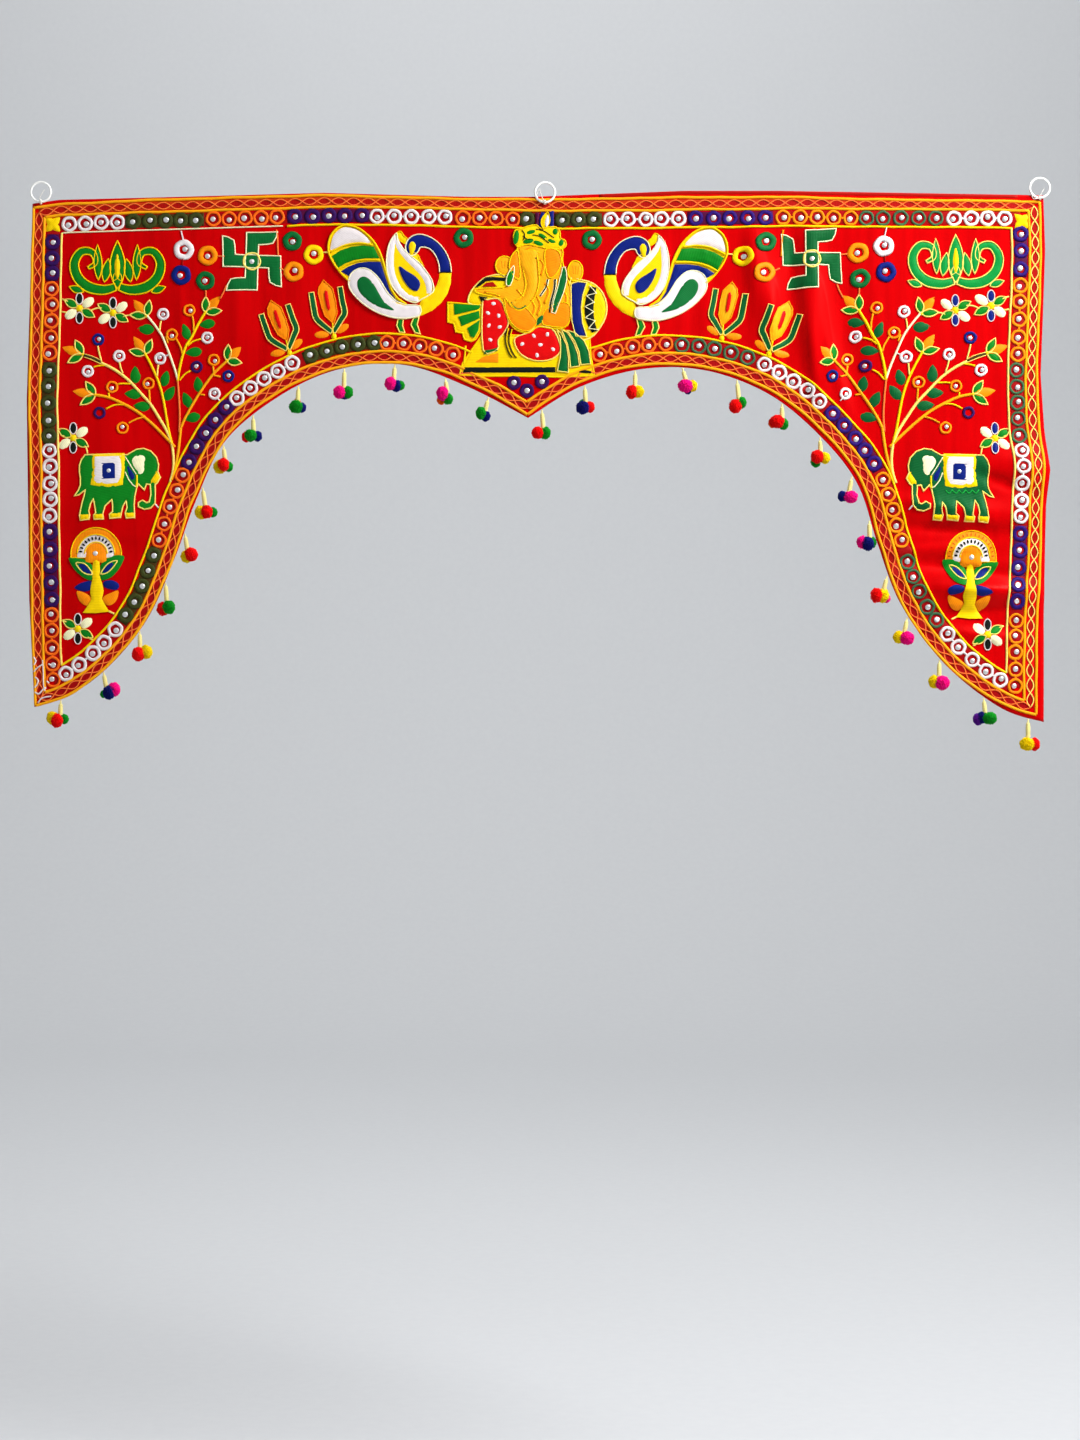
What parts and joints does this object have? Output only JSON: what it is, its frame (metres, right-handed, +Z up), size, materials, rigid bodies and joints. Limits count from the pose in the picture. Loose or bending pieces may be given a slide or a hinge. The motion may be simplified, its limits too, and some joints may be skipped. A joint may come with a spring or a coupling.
{
  "type": "embroidered toran door hanging with pompom pendants",
  "caption": "Red satin doorway valance with an arched lower edge, bright embroidery, hanging rings and wool pompom pendants.",
  "frame": {"origin": "top of the middle ring's hole, where the ring rests on its hook", "axes": "+X to the right along the doorway, +Z up, the embroidered front faces -Y"},
  "size_m": [1.0233, 0.0244, 0.5736],
  "materials": {
    "satin": "red polyester satin, soft sheen",
    "embroidery": "raised rayon embroidery thread in many colours",
    "mirror": "small round mirrors",
    "ring_plastic": "white moulded plastic",
    "tie_thread": "white cotton thread",
    "wool": "dyed acrylic wool pompoms on stems wrapped with cream thread"
  },
  "bodies": {
    "root": {"cloth_panel": "satin", "ring_left": "ring_plastic", "ring_middle": "ring_plastic", "ring_right": "ring_plastic", "ring_tie_left": "tie_thread", "ring_tie_middle": "tie_thread", "ring_tie_right": "tie_thread", "pendant_01": "wool", "pendant_02": "wool", "pendant_03": "wool", "pendant_04": "wool", "pendant_05": "wool", "pendant_06": "wool", "pendant_07": "wool", "pendant_08": "wool", "pendant_09": "wool", "pendant_10": "wool", "pendant_11": "wool", "pendant_12": "wool", "pendant_13": "wool", "pendant_14": "wool", "pendant_15": "wool", "pendant_16": "wool", "pendant_17": "wool", "pendant_18": "wool", "pendant_19": "wool", "pendant_20": "wool", "pendant_21": "wool", "pendant_22": "wool", "pendant_23": "wool", "pendant_24": "wool", "pendant_25": "wool", "pendant_26": "wool", "pendant_27": "wool"}
  },
  "joints": []
}
